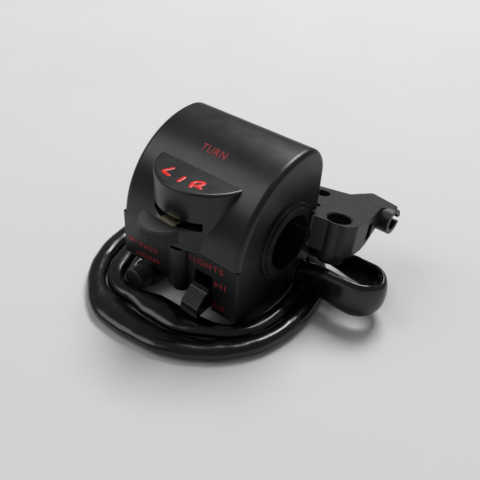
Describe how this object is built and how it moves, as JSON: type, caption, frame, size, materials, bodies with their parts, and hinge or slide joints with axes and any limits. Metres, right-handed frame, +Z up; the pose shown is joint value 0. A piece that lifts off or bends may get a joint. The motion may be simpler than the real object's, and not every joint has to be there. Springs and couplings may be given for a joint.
{
  "type": "handlebar switch cluster",
  "caption": "Handlebar switch cluster with turn knob, dimmer lever, horn and passing buttons, lever bracket with mirror hole, and a coiled wiring loom.",
  "frame": {"origin": "centre of the handlebar bore at mid-width of the casing; the two casing halves part at Z = 0", "axes": "+X along the bar, inboard, towards the lever bracket; +Y forward, away from the rider; +Z up"},
  "size_m": [0.1175, 0.1096, 0.0637],
  "materials": {
    "housing_paint": "satin black paint on die-cast aluminium",
    "bracket_paint": "satin black paint on cast aluminium",
    "knob_plastic": "moulded, fluted, satin",
    "button_plastic": "moulded, smooth",
    "rotor_plastic": "natural acetal",
    "board": "paper laminate contact board",
    "brass_sheet": "rolled, lightly tarnished",
    "copper_contact": "bright",
    "zinc_steel": "zinc plated",
    "black_steel": "black oxide",
    "spring_steel": "bright wire",
    "sheath": "soft glossy vinyl sheath",
    "gland_rubber": "matt",
    "sleeve_plastic": "shrunk sleeve",
    "wire_plastic": "coloured wire insulation",
    "plug_nylon": "natural nylon"
  },
  "bodies": {
    "casing": {"upper_housing": "housing_paint", "lower_housing": "housing_paint", "housing_screws": "black_steel", "turn_pivot_pin": "zinc_steel", "turn_base": "board", "turn_contacts": "copper_contact", "turn_base_screws": "zinc_steel", "dimmer_pivot_pin": "zinc_steel", "dimmer_frame": "zinc_steel", "dimmer_base": "board", "dimmer_contacts": "copper_contact", "dimmer_base_screws": "zinc_steel", "horn_spring": "spring_steel", "horn_contact_plate": "copper_contact", "pass_spring": "spring_steel", "pass_contact_plate": "copper_contact", "contact_screws": "zinc_steel", "lever_bracket": "bracket_paint", "bracket_screws": "black_steel", "loom_gland": "gland_rubber", "loom_lead": "sheath", "loom_coil": "sheath", "loom_sleeve": "sleeve_plastic", "loom_wires": "wire_plastic", "loom_plug": "plug_nylon"},
    "turn_switch": {"turn_knob": "knob_plastic", "turn_lever": "brass_sheet", "turn_rotor": "rotor_plastic", "turn_rivets": "brass_sheet", "turn_wiper": "copper_contact", "turn_detent_ball": "zinc_steel", "turn_detent_spring": "spring_steel"},
    "dimmer_switch": {"dimmer_lever": "button_plastic", "dimmer_wiper": "copper_contact"},
    "horn_switch": {"horn_button": "button_plastic", "horn_clip": "zinc_steel"},
    "pass_switch": {"pass_button": "button_plastic"}
  },
  "joints": [
    {"name": "turn_swing", "type": "hinge", "parent": "casing", "child": "turn_switch", "pos_m": [0, -0.0108, 0.012], "axis": [0, 0, 1], "range_deg": [-20, 20]},
    {"name": "dimmer_rock", "type": "hinge", "parent": "casing", "child": "dimmer_switch", "pos_m": [0.0135, -0.0215, -0.0155], "axis": [-1, 0, 0], "range_deg": [0, 30]},
    {"name": "horn_press", "type": "slide", "parent": "casing", "child": "horn_switch", "axis": [0, 1, 0], "range_m": [0, 0.0025], "stiffness_N_per_m": 600, "deforming": ["horn_spring"]},
    {"name": "pass_press", "type": "slide", "parent": "casing", "child": "pass_switch", "axis": [0, -1, 0], "range_m": [0, 0.0016], "stiffness_N_per_m": 800, "deforming": ["pass_spring"]}
  ]
}
